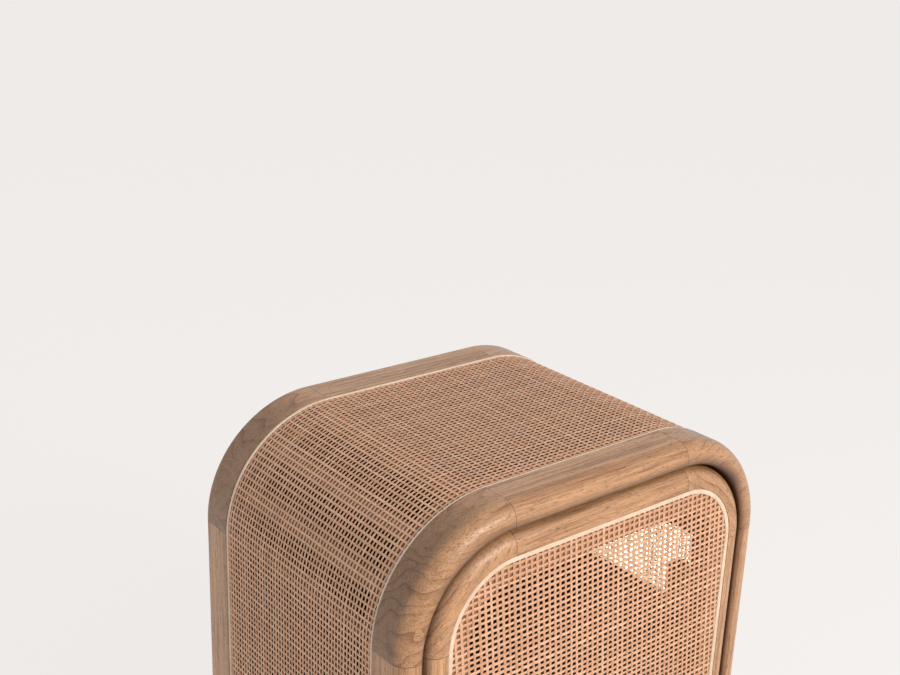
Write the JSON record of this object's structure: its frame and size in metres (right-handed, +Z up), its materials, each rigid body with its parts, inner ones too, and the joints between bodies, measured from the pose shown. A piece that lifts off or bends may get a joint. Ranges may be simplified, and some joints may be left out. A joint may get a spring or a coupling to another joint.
{
  "type": "storage side table with door",
  "caption": "Side table with rounded wooden front and rear frames, cane wrapped over sides and top, an inset cane door on butt hinges and an inner shelf.",
  "frame": {"origin": "centre of the bounding box at the floor under the glides", "axes": "+Z up, front with the door faces -Y, +X to the right seen from the front"},
  "size_m": [0.48, 0.351, 0.55],
  "materials": {
    "frame_wood": "satin clear lacquer over straight-grained tropical hardwood",
    "inner_wood": "planed hardwood, unpolished",
    "panel_wood": "dark stained plywood",
    "cane": "natural peeled cane, matte with a light sheen",
    "reed": "pale split reed, matte",
    "lining_sheet": "thin pale frosted sheet that lets light through",
    "hinge_brass": "aged brass, satin",
    "latch_plastic": "dark matte moulded",
    "plunger_plastic": "dark grey matte moulded with a magnet tip",
    "strike_steel": "zinc plated",
    "glide_plastic": "brown matte"
  },
  "bodies": {
    "case": {"back_panel": "panel_wood", "bottom_panel": "panel_wood", "bottom_stretcher_left": "inner_wood", "bottom_stretcher_right": "inner_wood", "cane_wrap": "cane", "corner_slats_bottom_left": "inner_wood", "corner_slats_bottom_right": "inner_wood", "corner_slats_top_left": "inner_wood", "corner_slats_top_right": "inner_wood", "floor_glides": "glide_plastic", "front_bottom_rail": "frame_wood", "front_corner_bottom_left": "frame_wood", "front_corner_bottom_right": "frame_wood", "front_corner_top_left": "frame_wood", "front_corner_top_right": "frame_wood", "front_left_stile": "frame_wood", "front_right_stile": "frame_wood", "front_top_rail": "frame_wood", "front_wrap_reed": "reed", "latch_housing": "latch_plastic", "lower_hinge_case_leaf": "hinge_brass", "lower_hinge_pin": "hinge_brass", "lower_side_stretcher_left": "inner_wood", "lower_side_stretcher_right": "inner_wood", "rear_bottom_rail": "frame_wood", "rear_corner_bottom_left": "frame_wood", "rear_corner_bottom_right": "frame_wood", "rear_corner_top_left": "frame_wood", "rear_corner_top_right": "frame_wood", "rear_left_stile": "frame_wood", "rear_right_stile": "frame_wood", "rear_top_rail": "frame_wood", "rear_wrap_reed": "reed", "shelf": "panel_wood", "shelf_bearer_left": "inner_wood", "shelf_bearer_right": "inner_wood", "shelf_corner_blocks": "inner_wood", "side_lining_left": "lining_sheet", "side_lining_right": "lining_sheet", "top_panel": "panel_wood", "top_stretcher_left": "inner_wood", "top_stretcher_right": "inner_wood", "upper_hinge_case_leaf": "hinge_brass", "upper_hinge_pin": "hinge_brass", "upper_side_stretcher_left": "inner_wood", "upper_side_stretcher_right": "inner_wood"},
    "door": {"door_bottom_rail": "frame_wood", "door_cane": "cane", "door_corner_bottom_left": "frame_wood", "door_corner_bottom_right": "frame_wood", "door_corner_top_left": "frame_wood", "door_corner_top_right": "frame_wood", "door_left_stile": "frame_wood", "door_reed": "reed", "door_right_stile": "frame_wood", "door_top_rail": "frame_wood", "latch_strike": "strike_steel", "lower_hinge_door_leaf": "hinge_brass", "upper_hinge_door_leaf": "hinge_brass"},
    "plunger": {"latch_plunger": "plunger_plastic"}
  },
  "joints": [
    {"name": "door_hinge", "type": "hinge", "parent": "case", "child": "door", "pos_m": [-0.21185, -0.1705, 0.277], "axis": [0, 0, -1], "range_deg": [0, 110]},
    {"name": "latch_press", "type": "slide", "parent": "case", "child": "plunger", "axis": [0, 1, 0], "range_m": [0, 0.0025], "stiffness_N_per_m": 100, "springref_m": -0.005}
  ]
}
